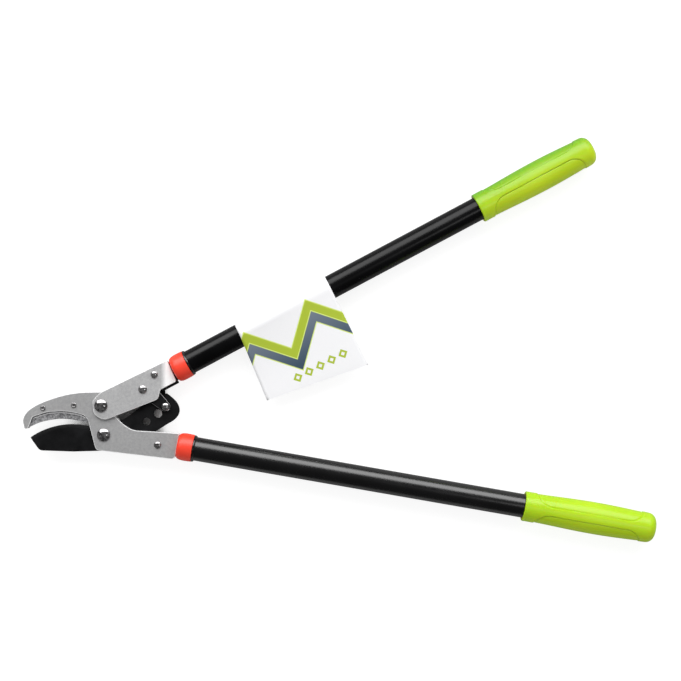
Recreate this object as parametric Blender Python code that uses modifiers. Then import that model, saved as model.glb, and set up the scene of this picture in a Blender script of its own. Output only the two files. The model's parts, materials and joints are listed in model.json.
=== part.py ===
"""A compound-action anvil lopper, lying flat, with a card sleeve on its upper tube.

Lengths are in millimetres and become metres where a mesh is made.  The origin is on the axis
of the upper handle's pivot, on the flat rear face of its rivet.  +X runs towards the grips and
+Z towards the front.  A place along a handle is (s, w): s along its tube, w across it.
"""
from math import atan2, ceil, cos, pi, radians, sin, sqrt, tan

import bmesh
import bpy
from mathutils import Matrix, Vector

MM = 0.001

# Clearances
FIT_GAP = 0.3
SLOT_GAP = 0.4

# Sheet and bar thicknesses, stacked about the middle plane
BLADE_THICKNESS = 4.0
CHEEK_THICKNESS = 2.8
LINK_THICKNESS = 2.8
UPPER_PLATE_THICKNESS = 2.8
TANG_THICKNESS = 4.0

# Pivots, at rest, from the upper handle's pivot
BLADE_PIVOT = Vector((2.4, -32.3))
LINK_PIVOT = Vector((45.8, 17.9))
TAIL_PIVOT = Vector((70.4, -1.3))

# Handle axes: slope, and how far the axis passes beside its own pivot
LOWER_SLOPE = radians(-9.87)
LOWER_AXIS_OFFSET = 1.75
UPPER_SLOPE = radians(28.03)
UPPER_AXIS_OFFSET = -3.4

# Rivets: shaft and head radii, and head heights
PIVOT_SHAFT_RADIUS = 3.6
PIVOT_HEAD_RADIUS = 7.3
PIVOT_HEAD_HEIGHT = 3.7
PIVOT_TAIL_HEIGHT = 3.0
SMALL_SHAFT_RADIUS = 2.5
LINK_HEAD_RADIUS = 4.7
TAIL_HEAD_RADIUS = 4.2
TAIL_SHAFT_RADIUS = 3.0
TAIL_SLOT_PLAY = 1.9
TANG_HEAD_RADIUS = 3.9
SMALL_HEAD_HEIGHT = 2.5
EYELET_HEAD_RADIUS = 3.0
EYELET_SHAFT_RADIUS = 1.9
EYELET_BORE_RADIUS = 1.1
EYELET_HEAD_HEIGHT = 0.9
PIVOT_SPACER_RADIUS = 6.5
LINK_SPACER_RADIUS = 4.8
TANG_WASHER_RADIUS = 5.5

# Rivet places
EYELETS = (Vector((-64.2, -3.0)), Vector((-30.3, 0.2)))
LOWER_TANG_RIVET = (60.4, -2.5)
UPPER_TANG_RIVET = (67.6, 6.0)

# Tubes, collars and grips, along each handle from its own pivot
TUBE_RADIUS = 13.1
TUBE_WALL = 1.5
LOWER_COLLAR_START = 81.6
UPPER_COLLAR_START = 87.8
COLLAR_LENGTH = 17.3
COLLAR_WALL = 1.9
COLLAR_CAP = 3.0
END_RING_LENGTH = 2.3
END_RING_WALL = 1.3
TANG_REACH = 28.0
LOWER_GRIP_START = 468.5
UPPER_GRIP_START = 467.6
LOWER_GRIP_LENGTH = 146.5
UPPER_GRIP_LENGTH = 142.0
GRIP_CAP = 6.0
GRIP_LIP_WALL = 3.0
GRIP_SWELL = 2.2
GRIP_TAPER = 0.6
GRIP_END_ROUND = 8.0
GRIP_DEPTH_SHARE = 0.25

# Upper plates, whose narrow ends bend in along X
BEND_START = 68.5
BEND_END = 80.0
NARROW_TOP = 13.2
NARROW_BOTTOM = -11.8
TANG_EDGE_SHOWING = 2.8
PLATE_END_GAP = 0.6
PLATE_END_RAKE = 2.2

# Blade edge
EDGE_WIDTH = 5.0
EDGE_THICKNESS = 0.6
TAIL_HOLES = ((Vector((61.6, -9.0)), 4.7), (Vector((49.0, -17.9)), 4.4))

# Card sleeve
CARD_THICKNESS = 0.5
CARD_START = 171.0
CARD_END = 283.0
CARD_BOTTOM_START = 163.0
CARD_BOTTOM_END = 280.0
CARD_DROP_START = 64.0
CARD_DROP_END = 82.0
CARD_FOOT_HALF_DEPTH = 1.1

# Fineness
TURN_STEPS = 32
HOLE_STEPS = 20
CURVE_STEPS = 4
LEAF_STEPS = 3
CARD_COLUMNS = 6

# The layers, as heights from the middle plane
CHEEK_INNER = BLADE_THICKNESS / 2 + FIT_GAP
CHEEK_OUTER = CHEEK_INNER + CHEEK_THICKNESS
LINK_OUTER = CHEEK_INNER + LINK_THICKNESS
UPPER_INNER = max(CHEEK_OUTER, LINK_OUTER) + FIT_GAP
UPPER_OUTER = UPPER_INNER + UPPER_PLATE_THICKNESS
CLAMP_INNER = TANG_THICKNESS / 2 + FIT_GAP
MIDDLE_HEIGHT = UPPER_OUTER + FIT_GAP + PIVOT_TAIL_HEIGHT

SILVER = (0.62, 0.62, 0.63)
CHROME = (0.80, 0.80, 0.82)
BLACK_COAT = (0.015, 0.015, 0.017)
BLACK_PAINT = (0.02, 0.02, 0.022)
ORANGE_RED = (0.85, 0.08, 0.03)
LIME = (0.45, 0.72, 0.02)
INSERT_GREY = (0.33, 0.33, 0.35)
CARD_WHITE = (0.85, 0.86, 0.88)


def remove_everything():
    for thing in list(bpy.data.objects):
        bpy.data.objects.remove(thing, do_unlink=True)


def collection(name):
    made = bpy.data.collections.new(name)
    bpy.context.scene.collection.children.link(made)
    return made


def material(name, colour, roughness, metallic=0.0):
    made = bpy.data.materials.new(name)
    made.use_nodes = True
    shader = made.node_tree.nodes["Principled BSDF"]
    shader.inputs["Base Color"].default_value = (*colour, 1.0)
    shader.inputs["Roughness"].default_value = roughness
    shader.inputs["Metallic"].default_value = metallic
    made.diffuse_color = (*colour, 1.0)
    return made


# Outlines

def corner(x, y, radius=0.0):
    return Vector((x, y)), radius


def smooth(points, steps=CURVE_STEPS):
    """Corners along a Catmull-Rom curve through the points."""
    points = [Vector(p) for p in points]
    padded = [2 * points[0] - points[1], *points, 2 * points[-1] - points[-2]]
    found = []
    for before, start, end, after in zip(padded, padded[1:], padded[2:], padded[3:]):
        for step in range(steps):
            t = step / steps
            place = 0.5 * (2 * start + (end - before) * t
                           + (2 * before - 5 * start + 4 * end - after) * t ** 2
                           + (3 * start - before - 3 * end + after) * t ** 3)
            found.append((place, 0.0))
    found.append((points[-1], 0.0))
    return found


def arc(centre, radius, start, end, steps=8):
    """Corners along an arc, from one angle in degrees to another."""
    angles = [radians(start + (end - start) * i / steps) for i in range(steps + 1)]
    return [(centre + radius * Vector((cos(a), sin(a))), 0.0) for a in angles]


def fillet(before, at, after, radius):
    """The points of a round that replaces one corner."""
    incoming = (before - at).normalized()
    outgoing = (after - at).normalized()
    half = incoming.angle(outgoing) / 2
    longest = 0.49 * min((before - at).length, (after - at).length)
    setback = min(radius / tan(half), longest)
    radius = setback * tan(half)
    centre = at + (incoming + outgoing).normalized() * radius / sin(half)
    first = at + incoming * setback - centre
    last = at + outgoing * setback - centre
    turn = first.angle_signed(last)
    steps = max(2, ceil(abs(turn) / radians(18)))
    return [centre + Matrix.Rotation(-turn * i / steps, 2) @ first for i in range(steps + 1)]


def rounded(corners):
    """An outline from corners, with each corner's own radius."""
    found = []
    for i, (at, radius) in enumerate(corners):
        before = corners[i - 1][0]
        after = corners[(i + 1) % len(corners)][0]
        if radius:
            found += fillet(before, at, after, radius)
        else:
            found.append(at)
    return found


def circle(centre, radius, steps=HOLE_STEPS):
    return [centre + radius * Vector((cos(2 * pi * i / steps), sin(2 * pi * i / steps)))
            for i in range(steps)]


def on_lower(s, w):
    along = Vector((cos(LOWER_SLOPE), sin(LOWER_SLOPE)))
    across = Vector((-along.y, along.x))
    return BLADE_PIVOT + along * s + across * (w + LOWER_AXIS_OFFSET)


def on_upper(s, w):
    along = Vector((cos(UPPER_SLOPE), sin(UPPER_SLOPE)))
    across = Vector((-along.y, along.x))
    return along * s + across * (w + UPPER_AXIS_OFFSET)


# Makers of solids

def link_object(name, data, parts, finish):
    made = bpy.data.objects.new(name, data)
    parts.objects.link(made)
    data.materials.append(finish)
    return made


def flat_curve(name, outlines, thickness):
    data = bpy.data.curves.new(name, "CURVE")
    data.dimensions = "2D"
    data.fill_mode = "BOTH"
    data.extrude = thickness / 2 * MM
    for points in outlines:
        spline = data.splines.new("POLY")
        spline.points.add(len(points) - 1)
        for place, point in zip(spline.points, points):
            place.co = (point.x * MM, point.y * MM, 0, 1)
        spline.use_cyclic_u = True
    return data


def sheet(name, outlines, inner, thickness, side, parts, finish):
    """A flat plate; side is 1 in front of the middle plane, -1 behind it, 0 centred on it."""
    height = MIDDLE_HEIGHT + side * (inner + thickness / 2)
    made = link_object(name, flat_curve(name, outlines, thickness), parts, finish)
    made.location.z = height * MM
    return made


def as_mesh(thing):
    """Turn a curve object into a welded mesh object in its place."""
    bpy.context.view_layer.update()
    evaluated = thing.evaluated_get(bpy.context.evaluated_depsgraph_get())
    mesh = bpy.data.meshes.new_from_object(evaluated)
    work = bmesh.new()
    work.from_mesh(mesh)
    bmesh.ops.remove_doubles(work, verts=work.verts, dist=0.00001)
    bmesh.ops.recalc_face_normals(work, faces=work.faces)
    work.to_mesh(mesh)
    work.free()
    name = thing.name
    home = thing.users_collection[0]
    place = thing.matrix_world.copy()
    bpy.data.objects.remove(thing, do_unlink=True)
    made = bpy.data.objects.new(name, mesh)
    home.objects.link(made)
    made.matrix_world = place
    return made


def turned(name, profile, closed, parts, finish, steps=TURN_STEPS):
    """A body turned about local Z; the profile is (radius, height), outer side downwards."""
    mesh = bpy.data.meshes.new(name)
    work = bmesh.new()
    rings = [work.verts.new((radius * MM, 0, height * MM)) for radius, height in profile]
    pairs = list(zip(rings, rings[1:]))
    if closed:
        pairs.append((rings[-1], rings[0]))
    for pair in pairs:
        work.edges.new(pair)
    work.to_mesh(mesh)
    work.free()
    made = link_object(name, mesh, parts, finish)
    screw = made.modifiers.new("turn", "SCREW")
    screw.axis = "Z"
    screw.steps = steps
    screw.render_steps = steps
    screw.use_merge_vertices = True
    screw.merge_threshold = 0.00001
    screw.use_smooth_shade = True
    return made


def cut(thing, cutter):
    cutter.hide_render = True
    cutter.display_type = "WIRE"
    boolean = thing.modifiers.new("cut", "BOOLEAN")
    boolean.operation = "DIFFERENCE"
    boolean.solver = "EXACT"
    boolean.object = cutter


def lay_along(thing, place, slope):
    """Put a turned body's axis along a handle, at the middle height."""
    thing.location = (place.x * MM, place.y * MM, MIDDLE_HEIGHT * MM)
    thing.rotation_euler = (0, pi / 2, slope)


# Rivets, spacers and washers

def rivet(name, place, shaft, head, head_height, base, tail_height, parts, finish):
    """A rivet with a domed front head; its heads rest on what lies out to the base height."""
    seat = base + FIT_GAP
    dome = [(head * sin(a), seat + head_height * (0.25 + 0.75 * cos(a)))
            for a in [radians(18 * i) for i in range(1, 5)]]
    chamfer = 0.25 * tail_height
    profile = [
        (0, seat + head_height), *dome, (head, seat + 0.25 * head_height), (head, seat), (shaft, seat),
        (shaft, -seat), (head, -seat), (head, -seat - tail_height + chamfer),
        (head - chamfer, -seat - tail_height), (0, -seat - tail_height),
    ]
    made = turned(name, profile, False, parts, finish, 20)
    made.location = (place.x * MM, place.y * MM, MIDDLE_HEIGHT * MM)
    return made


def eyelet(name, place, parts, finish):
    """A hollow rivet with a rolled ring at each end."""
    seat = CHEEK_OUTER + FIT_GAP
    top = seat + EYELET_HEAD_HEIGHT
    middle = (EYELET_BORE_RADIUS + EYELET_HEAD_RADIUS) / 2
    upper = [(EYELET_BORE_RADIUS, seat), (EYELET_BORE_RADIUS + 0.4, top - 0.2), (middle, top),
             (EYELET_HEAD_RADIUS - 0.3, top - 0.3), (EYELET_HEAD_RADIUS, seat),
             (EYELET_SHAFT_RADIUS, seat)]
    lower = [(radius, -height) for radius, height in reversed(upper)]
    made = turned(name, upper + lower, True, parts, finish, 16)
    made.location = (place.x * MM, place.y * MM, MIDDLE_HEIGHT * MM)
    return made


def ring(name, place, inner, outer, low, high, parts, finish):
    profile = [(outer, high), (outer, low), (inner, low), (inner, high)]
    made = turned(name, profile, True, parts, finish, 20)
    made.location = (place.x * MM, place.y * MM, MIDDLE_HEIGHT * MM)
    return made


# Anvil jaw on the lower handle

def cheek_outline():
    """The hook-shaped jaw, the pivots' boss and the strap down to the collar."""
    back = smooth([(-86.6, -17.0), (-84.9, -11.3), (-80.7, -5.7), (-72.4, -0.1), (-61.8, 4.8),
                   (-47.7, 9.6), (-33.8, 12.9), (-19.7, 14.5)], 3)
    step = smooth([(-14.4, -17.0), (-17.5, -12.2), (-22.6, -9.6), (-30.3, -7.8), (-40.8, -6.3),
                   (-50.6, -6.5), (-60.4, -7.5), (-68.1, -9.9), (-76.0, -12.6)], 3)
    throat = smooth([(14.6, -11.4), (19.1, -16.1), (25.7, -22.0), (32.5, -26.1), (38.4, -27.7)], 3)
    strap_end = LOWER_COLLAR_START - FIT_GAP
    high = on_lower(strap_end, 13.9)
    low = on_lower(strap_end, -14.9)
    return rounded([
        corner(-80.9, -25.3, 1.2), corner(-84.6, -26.0, 2.5), *back, corner(1.5, 14.9, 8.0),
        corner(13.0, 6.0, 8.0), *throat, corner(59.1, -28.9, 30.0), corner(high.x, high.y, 1.0),
        corner(low.x, low.y, 4.0), corner(-6.2, -49.0, 5.0), *step,
    ])


def cheeks(parts, finish):
    holes = [circle(Vector((0, 0)), PIVOT_SHAFT_RADIUS + FIT_GAP),
             circle(BLADE_PIVOT, PIVOT_SHAFT_RADIUS + FIT_GAP),
             circle(on_lower(*LOWER_TANG_RIVET), SMALL_SHAFT_RADIUS + FIT_GAP)]
    holes += [circle(place, EYELET_SHAFT_RADIUS + FIT_GAP) for place in EYELETS]
    for name, side in (("anvil_cheek_front", 1), ("anvil_cheek_rear", -1)):
        sheet(name, [cheek_outline(), *holes], CHEEK_INNER, CHEEK_THICKNESS, side, parts, finish)


def anvil_insert(parts, finish):
    bed = smooth([(-79.3, -23.6), (-70.5, -19.6), (-61.8, -17.1), (-48.5, -15.0), (-38.0, -15.0),
                  (-28.4, -16.4), (-15.6, -18.5)], 3)
    back = smooth([(-17.0, 6.0), (-33.0, 8.0), (-50.0, 4.6), (-64.0, 1.0), (-76.0, -6.0)], 2)
    outline = rounded([*bed, corner(-11.5, -12.0, 3.0), *back, corner(-83.0, -15.0, 3.0)])
    holes = [circle(place, EYELET_SHAFT_RADIUS + FIT_GAP) for place in EYELETS]
    sheet("anvil_insert", [outline, *holes], 0, BLADE_THICKNESS, 0, parts, finish)


# Blade

BLADE_EDGE = (Vector((-79.0, -35.2)), Vector((-45.4, -21.7)), Vector((-14.3, -22.8)))


def circle_through(a, b, c):
    """Centre and radius of the circle through three points."""
    ab = b - a
    ac = c - a
    twice_area = 2 * (ab.x * ac.y - ab.y * ac.x)
    x = (ac.y * ab.length_squared - ab.y * ac.length_squared) / twice_area
    y = (ab.x * ac.length_squared - ac.x * ab.length_squared) / twice_area
    centre = a + Vector((x, y))
    return centre, (a - centre).length


def blade_outline():
    centre, radius = circle_through(*BLADE_EDGE)
    tip, heel = BLADE_EDGE[0] - centre, BLADE_EDGE[2] - centre
    tip_angle = atan2(tip.y, tip.x) * 180 / pi
    heel_angle = atan2(heel.y, heel.x) * 180 / pi
    edge = arc(centre, radius, tip_angle, heel_angle, 14)
    hub = arc(BLADE_PIVOT, 16.5, 140, 60, 6)
    lobe = smooth([(71.0, 13.2), (74.6, 10.7), (81.0, 4.9), (84.3, -0.5), (85.3, -6.2),
                   (83.7, -11.2), (79.0, -16.5), (71.4, -20.9)], 2)
    return rounded([
        *edge, *hub, corner(24.3, -15.4, 6.0), corner(45.2, 0.4, 6.0), corner(54.0, 7.0, 3.0),
        corner(61.0, 7.5, 2.0), corner(67.4, 11.6, 1.0), *lobe, corner(61.5, -27.3),
        corner(50.0, -33.5, 10.0), corner(30.0, -42.0, 20.0), corner(8.0, -49.8, 10.0),
        corner(-31.6, -50.9, 40.0), corner(-68.6, -49.6, 6.5),
    ])


def wedge(name, side, cutters):
    """A curved cutter that grinds one face of the blade down to its edge."""
    centre, radius = circle_through(*BLADE_EDGE)
    tip, heel = BLADE_EDGE[0] - centre, BLADE_EDGE[2] - centre
    overshoot = radians(4)
    start = atan2(tip.y, tip.x) + overshoot
    sweep = start - atan2(heel.y, heel.x) + overshoot / 2
    half = BLADE_THICKNESS / 2
    edge = EDGE_THICKNESS / 2
    slope = (half - edge) / EDGE_WIDTH
    beyond = 2.0
    section = [(radius - EDGE_WIDTH, half), (radius + beyond, edge - slope * beyond),
               (radius + beyond, half + beyond), (radius - EDGE_WIDTH, half + beyond)]
    work = bmesh.new()
    corners = [work.verts.new((r * cos(start), r * sin(start), side * z)) for r, z in section]
    face = work.faces.new(corners)
    bmesh.ops.spin(work, geom=[face, *face.edges, *face.verts], cent=(0, 0, 0), axis=(0, 0, 1),
                   angle=-sweep, steps=16, use_duplicate=False)
    bmesh.ops.recalc_face_normals(work, faces=work.faces)
    bmesh.ops.scale(work, vec=(MM, MM, MM), verts=work.verts)
    mesh = bpy.data.meshes.new(name)
    work.to_mesh(mesh)
    work.free()
    made = bpy.data.objects.new(name, mesh)
    cutters.objects.link(made)
    made.location = (centre.x * MM, centre.y * MM, MIDDLE_HEIGHT * MM)
    return made


def blade(parts, cutters, finish):
    holes = [circle(BLADE_PIVOT, PIVOT_SHAFT_RADIUS + FIT_GAP),
             circle(TAIL_PIVOT, TAIL_SHAFT_RADIUS + TAIL_SLOT_PLAY)]
    holes += [circle(place, radius) for place, radius in TAIL_HOLES]
    made = as_mesh(sheet("blade", [blade_outline(), *holes], 0, BLADE_THICKNESS, 0, parts, finish))
    for name, side in (("grind_front", 1), ("grind_rear", -1)):
        cut(made, wedge(name, side, cutters))


# Upper handle's plates and the link

def upper_plate_outline():
    """From the pivot round the wide part, the step and the narrow end."""
    plate_end = UPPER_COLLAR_START - PLATE_END_GAP
    narrow = [on_upper(plate_end, NARROW_TOP), on_upper(plate_end - PLATE_END_RAKE, NARROW_BOTTOM)]
    step = on_upper(65.6, NARROW_BOTTOM)
    return rounded([
        corner(narrow[1].x, narrow[1].y, 2.0), corner(narrow[0].x, narrow[0].y, 2.5),
        corner(0.2, 14.6, 6.0), corner(-5.6, 9.4, 3.0), corner(-9.4, 4.6, 5.0),
        corner(-8.0, -9.6, 8.0), corner(3.4, -16.2, 9.0), corner(62.3, 6.9, 6.0),
        corner(step.x, step.y, 3.0),
    ])


def bend_in(plate, side):
    """Bend the narrow end of a plate in towards the tang."""
    drop = (UPPER_INNER - CLAMP_INNER) * MM
    start, end = BEND_START * MM, BEND_END * MM
    work = bmesh.new()
    work.from_mesh(plate.data)
    for place in (start, end):
        everything = [*work.verts, *work.edges, *work.faces]
        bmesh.ops.bisect_plane(work, geom=everything, dist=0.0000001, plane_co=(place, 0, 0), plane_no=(1, 0, 0))
    for vertex in work.verts:
        share = (vertex.co.x - start) / (end - start)
        vertex.co.z -= side * drop * min(1, max(0, share))
    work.to_mesh(plate.data)
    work.free()


def upper_plates(parts, finish):
    holes = [circle(Vector((0, 0)), PIVOT_SHAFT_RADIUS + FIT_GAP),
             circle(LINK_PIVOT, SMALL_SHAFT_RADIUS + FIT_GAP),
             circle(on_upper(*UPPER_TANG_RIVET), SMALL_SHAFT_RADIUS + FIT_GAP)]
    for name, side in (("upper_plate_front", 1), ("upper_plate_rear", -1)):
        flat = sheet(name, [upper_plate_outline(), *holes], UPPER_INNER, UPPER_PLATE_THICKNESS,
                     side, parts, finish)
        bend_in(as_mesh(flat), side)


def link_outline(shoulder):
    """A tapered bar, wide at the upper plates and narrow at the tail."""
    return rounded([
        corner(77.5, -1.4, 4.0), *shoulder, corner(50.0, 26.0, 7.0),
        corner(36.6, 22.0, 7.0), corner(40.0, 13.0, 6.0), corner(69.2, -7.4, 4.6),
    ])


def link_plates(parts, finish):
    """The rear plate has a wider shoulder, which shows between the tang and the tail."""
    holes = [circle(LINK_PIVOT, SMALL_SHAFT_RADIUS + FIT_GAP),
             circle(TAIL_PIVOT, TAIL_SHAFT_RADIUS + FIT_GAP)]
    narrow = [corner(63.2, 15.6, 6.0)]
    wide = [corner(69.3, 11.0, 4.0), corner(68.5, 18.7, 2.0)]
    for name, side, shoulder in (("link_plate_front", 1, narrow), ("link_plate_rear", -1, wide)):
        sheet(name, [link_outline(shoulder), *holes], CHEEK_INNER, LINK_THICKNESS, side, parts, finish)


# Tangs, tubes, collars and grips

def tang_half_width():
    return TUBE_RADIUS - TUBE_WALL - SLOT_GAP


def tang(name, head, on_handle, collar_start, rivet_place, parts, finish):
    """A flat bar from between the plates into the tube; head is its corners up to the collar."""
    half = tang_half_width()
    reach = collar_start + TANG_REACH
    neck = collar_start - 2.0
    corners = [(neck, -half, 1.0), (reach, -half, 3.0), (reach, half, 3.0), (neck, half, 1.0), *head]
    outline = rounded([corner(*on_handle(s, w), radius) for s, w, radius in corners])
    hole = circle(on_handle(*rivet_place), SMALL_SHAFT_RADIUS + FIT_GAP)
    sheet(name, [outline, hole], 0, TANG_THICKNESS, 0, parts, finish)


def tube(name, on_handle, slope, collar_start, grip_end, parts, finish):
    start = collar_start + COLLAR_CAP + FIT_GAP
    inner = TUBE_RADIUS - TUBE_WALL
    length = grip_end - GRIP_CAP - FIT_GAP - start
    profile = [(TUBE_RADIUS, length), (TUBE_RADIUS, 0), (inner, 0), (inner, length)]
    made = turned(name, profile, True, parts, finish)
    lay_along(made, on_handle(start, 0), slope)


def collar(name, on_handle, slope, start, parts, cutters, finish):
    """A barrel-shaped ferrule over the tube's end, with a slot for the tang."""
    bore = TUBE_RADIUS + FIT_GAP
    outer = bore + COLLAR_WALL
    length = COLLAR_LENGTH
    profile = [
        (bore, length), (outer - 0.9, length), (outer - 0.5, length - 0.5), (outer - 0.15, 0.74 * length),
        (outer - 0.1, 0.48 * length), (outer - 0.8, 0.26 * length), (outer - 1.9, 0.12 * length),
        (outer - 2.8, 0.03 * length), (outer - 3.6, 0.0), (0, 0), (0, COLLAR_CAP), (bore, COLLAR_CAP),
    ]
    made = turned(name, profile, True, parts, finish)
    lay_along(made, on_handle(start, 0), slope)
    slot = box(name + "_slot", 2 * COLLAR_CAP + 4, 2 * (tang_half_width() + FIT_GAP),
               TANG_THICKNESS + 2 * FIT_GAP, cutters)
    place = on_handle(start, 0)
    slot.location = (place.x * MM, place.y * MM, MIDDLE_HEIGHT * MM)
    slot.rotation_euler = (0, 0, slope)
    cut(made, slot)


def end_ring(name, on_handle, slope, collar_start, parts, finish):
    """A black ring round the tube, which closes the collar's open end."""
    inner = TUBE_RADIUS + FIT_GAP
    outer = inner + END_RING_WALL
    length = END_RING_LENGTH
    profile = [(inner, length), (inner + 0.3, length), (outer - 0.1, 0.5 * length), (outer, 0), (inner, 0)]
    made = turned(name, profile, True, parts, finish)
    lay_along(made, on_handle(collar_start + COLLAR_LENGTH + FIT_GAP, 0), slope)


def box(name, length, width, height, cutters):
    work = bmesh.new()
    bmesh.ops.create_cube(work, size=1.0)
    bmesh.ops.scale(work, vec=(length * MM, width * MM, height * MM), verts=work.verts)
    mesh = bpy.data.meshes.new(name)
    work.to_mesh(mesh)
    work.free()
    made = bpy.data.objects.new(name, mesh)
    cutters.objects.link(made)
    return made


def grip_radius(share):
    """The grip's half width at a share of its length from its mouth."""
    lip = TUBE_RADIUS + FIT_GAP + GRIP_LIP_WALL
    swell = GRIP_SWELL * sin(pi * min(1, max(0, (share - 0.04) / 1.04))) ** 1.6
    return lip + swell - GRIP_TAPER * share


def grip(name, on_handle, slope, start, length, parts, finish):
    """A vinyl sleeve with a closed, rounded end, a little flatter than it is wide."""
    lip = grip_radius(0)
    bore = TUBE_RADIUS + FIT_GAP
    shoulder = 1 - GRIP_END_ROUND / length
    shares = [shoulder * i / 9 for i in range(10)]
    side = [(grip_radius(share), share * length) for share in shares]
    side[0] = (lip, 1.2)
    end_radius = grip_radius(shoulder)
    dome = [(end_radius - GRIP_END_ROUND * (1 - cos(a)), length - GRIP_END_ROUND * (1 - sin(a)))
            for a in [radians(22.5 * i) for i in range(1, 5)]]
    floor = length - GRIP_CAP
    profile = [(0, length), *reversed(dome), *reversed(side), (lip - 1.0, 0), (bore, 0),
               (bore, floor), (0, floor)]
    made = turned(name, profile, False, parts, finish)
    lay_along(made, on_handle(start, 0), slope)
    flatten(made, lip)


def flatten(thing, lip):
    """Draw in a turned grip's swell from front to back, and leave its bore round."""
    solid = as_mesh(thing)
    for vertex in solid.data.vertices:
        radius = sqrt(vertex.co.x ** 2 + vertex.co.y ** 2) / MM
        if radius > lip:
            vertex.co.x *= (lip + GRIP_DEPTH_SHARE * (radius - lip)) / radius
    solid.data.shade_smooth()


# Card sleeve

def card_loop(drop):
    """The folded card across the tube, as (depth, distance below the axis, share of the leaf)."""
    radius = TUBE_RADIUS + FIT_GAP + CARD_THICKNESS
    fold = [(radius * cos(a), -radius * sin(a), 0.0) for a in [radians(18 * i) for i in range(11)]]
    leaf = []
    for step in range(1, LEAF_STEPS + 1):
        share = step / LEAF_STEPS
        depth = radius + (CARD_FOOT_HALF_DEPTH - radius) * share
        leaf.append((depth, drop * share, share))
    rear_leaf = [(-depth, fall, share) for depth, fall, share in leaf]
    return fold + rear_leaf + leaf[::-1]


def card_sleeve(parts, finish):
    """A closed loop of card round the tube, whose two leaves meet below it."""
    along = Vector((cos(UPPER_SLOPE), sin(UPPER_SLOPE), 0))
    down = Vector((along.y, -along.x, 0))
    middle = Vector((*on_upper(0, 0), MIDDLE_HEIGHT))
    work = bmesh.new()
    columns = []
    for i in range(CARD_COLUMNS + 1):
        across = i / CARD_COLUMNS
        drop = TUBE_RADIUS + CARD_DROP_START + (CARD_DROP_END - CARD_DROP_START) * across
        column = []
        for depth, fall, share in card_loop(drop):
            start = CARD_START + (CARD_BOTTOM_START - CARD_START) * share
            end = CARD_END + (CARD_BOTTOM_END - CARD_END) * share
            place = middle + along * (start + (end - start) * across) + down * fall
            place.z += depth
            column.append(work.verts.new(place * MM))
        columns.append(column)
    for first, second in zip(columns, columns[1:]):
        for j in range(len(first)):
            k = (j + 1) % len(first)
            work.faces.new((first[j], first[k], second[k], second[j]))
    bmesh.ops.recalc_face_normals(work, faces=work.faces)
    mesh = bpy.data.meshes.new("card_sleeve")
    work.to_mesh(mesh)
    work.free()
    made = link_object("card_sleeve", mesh, parts, finish)
    wall = made.modifiers.new("wall", "SOLIDIFY")
    wall.thickness = CARD_THICKNESS * MM
    wall.offset = -1
    wall.use_even_offset = True


def tang_heads():
    """The corners of both tangs up to their collars: (s, w, corner radius)."""
    lower_high, lower_low = LOWER_TANG_RIVET[1] + 6.1, LOWER_TANG_RIVET[1] - 8.3
    lower_left = LOWER_TANG_RIVET[0] - 7.4
    lower = [(70.0, 9.5, 4.0), (LOWER_TANG_RIVET[0], lower_high, 4.0),
             (lower_left, lower_high - 3.1, 2.0), (lower_left, lower_low + 1.8, 2.0),
             (LOWER_TANG_RIVET[0], lower_low, 6.0)]
    upper_low = NARROW_BOTTOM - TANG_EDGE_SHOWING
    upper_end = UPPER_COLLAR_START - FIT_GAP
    upper = [(upper_end, NARROW_TOP - 0.6, 2.0), (UPPER_TANG_RIVET[0] - 3.6, NARROW_TOP - 0.7, 4.0),
             (UPPER_TANG_RIVET[0] - 7.6, 0.0, 4.0), (67.0, upper_low, 1.5),
             (upper_end, upper_low, 3.0)]
    return lower, upper


def rivets(parts, finish):
    """Every solid rivet: its place, shaft, head, and the layer that it clamps."""
    origin = Vector((0, 0))
    upper_tang = on_upper(*UPPER_TANG_RIVET)
    lower_tang = on_lower(*LOWER_TANG_RIVET)
    for name, place, base in (("handle_pivot_rivet", origin, UPPER_OUTER),
                              ("blade_pivot_rivet", BLADE_PIVOT, CHEEK_OUTER)):
        rivet(name, place, PIVOT_SHAFT_RADIUS, PIVOT_HEAD_RADIUS, PIVOT_HEAD_HEIGHT, base,
              PIVOT_TAIL_HEIGHT, parts, finish)
    for name, place, shaft, head, base in (
            ("link_rivet", LINK_PIVOT, SMALL_SHAFT_RADIUS, LINK_HEAD_RADIUS, UPPER_OUTER),
            ("blade_link_rivet", TAIL_PIVOT, TAIL_SHAFT_RADIUS, TAIL_HEAD_RADIUS, LINK_OUTER),
            ("upper_tang_rivet", upper_tang, SMALL_SHAFT_RADIUS, TANG_HEAD_RADIUS, UPPER_OUTER),
            ("lower_tang_rivet", lower_tang, SMALL_SHAFT_RADIUS, TANG_HEAD_RADIUS, CHEEK_OUTER)):
        rivet(name, place, shaft, head, SMALL_HEAD_HEIGHT, base, SMALL_HEAD_HEIGHT, parts, finish)
    for name, place in zip(("anvil_rivet_tip", "anvil_rivet_heel"), EYELETS):
        eyelet(name, place, parts, finish)


def spacers_and_washers(parts, finish):
    half_blade = BLADE_THICKNESS / 2
    ring("handle_pivot_spacer", Vector((0, 0)), PIVOT_SHAFT_RADIUS + FIT_GAP, PIVOT_SPACER_RADIUS,
         -half_blade, half_blade, parts, finish)
    ring("link_spacer", LINK_PIVOT, SMALL_SHAFT_RADIUS + FIT_GAP, LINK_SPACER_RADIUS,
         -half_blade, half_blade, parts, finish)
    for name, side in (("upper_tang_washer_front", 1), ("upper_tang_washer_rear", -1)):
        low, high = sorted((side * CLAMP_INNER, side * (UPPER_INNER - FIT_GAP)))
        ring(name, on_upper(*UPPER_TANG_RIVET), SMALL_SHAFT_RADIUS + FIT_GAP, TANG_WASHER_RADIUS,
             low, high, parts, finish)


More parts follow.
